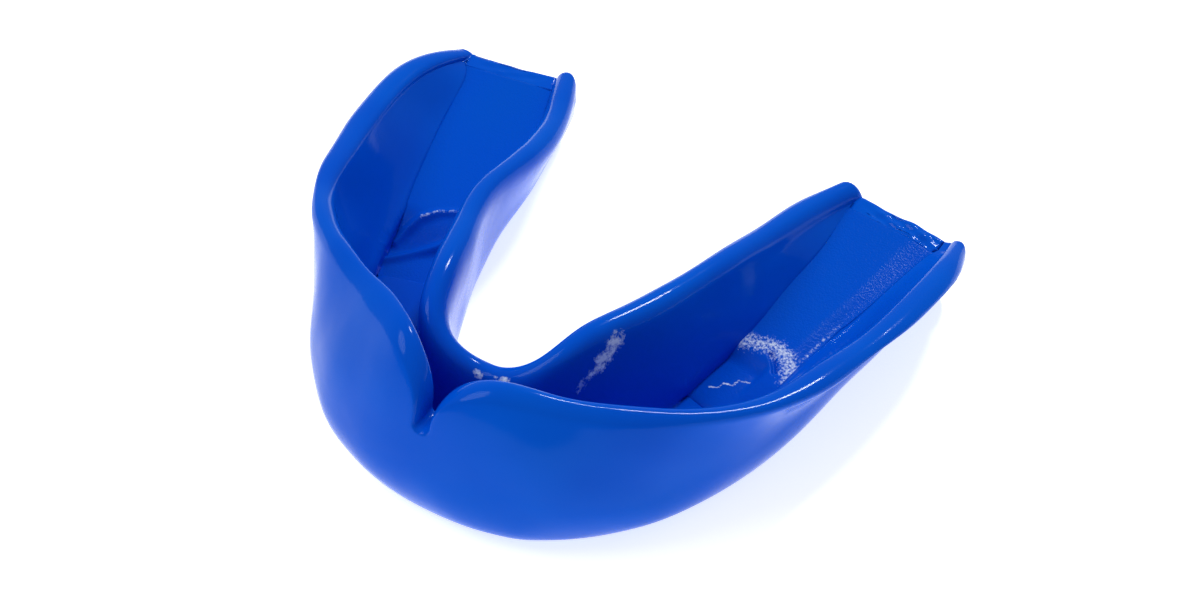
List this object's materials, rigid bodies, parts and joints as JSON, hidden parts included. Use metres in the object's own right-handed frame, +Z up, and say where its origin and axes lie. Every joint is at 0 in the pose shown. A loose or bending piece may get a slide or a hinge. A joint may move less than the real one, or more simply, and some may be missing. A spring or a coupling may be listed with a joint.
{
  "type": "mouthguard",
  "caption": "Boil-and-bite mouthguard for the upper teeth: a glossy soft U-shaped trough with high walls, a lip notch, and grained bite pads under the molars.",
  "frame": {"origin": "on the flat underside, under the middle of the front teeth", "axes": "+X across the arch, -Y towards the lips, +Y along the arms to the back teeth, +Z up out of the trough"},
  "size_m": [0.0652, 0.0574, 0.0198],
  "materials": {
    "guard_shell": "gloss",
    "bite_pad": "satin grain"
  },
  "bodies": {
    "root": {"guard_shell": "guard_shell", "left_bite_pad": "bite_pad", "right_bite_pad": "bite_pad"}
  },
  "joints": []
}
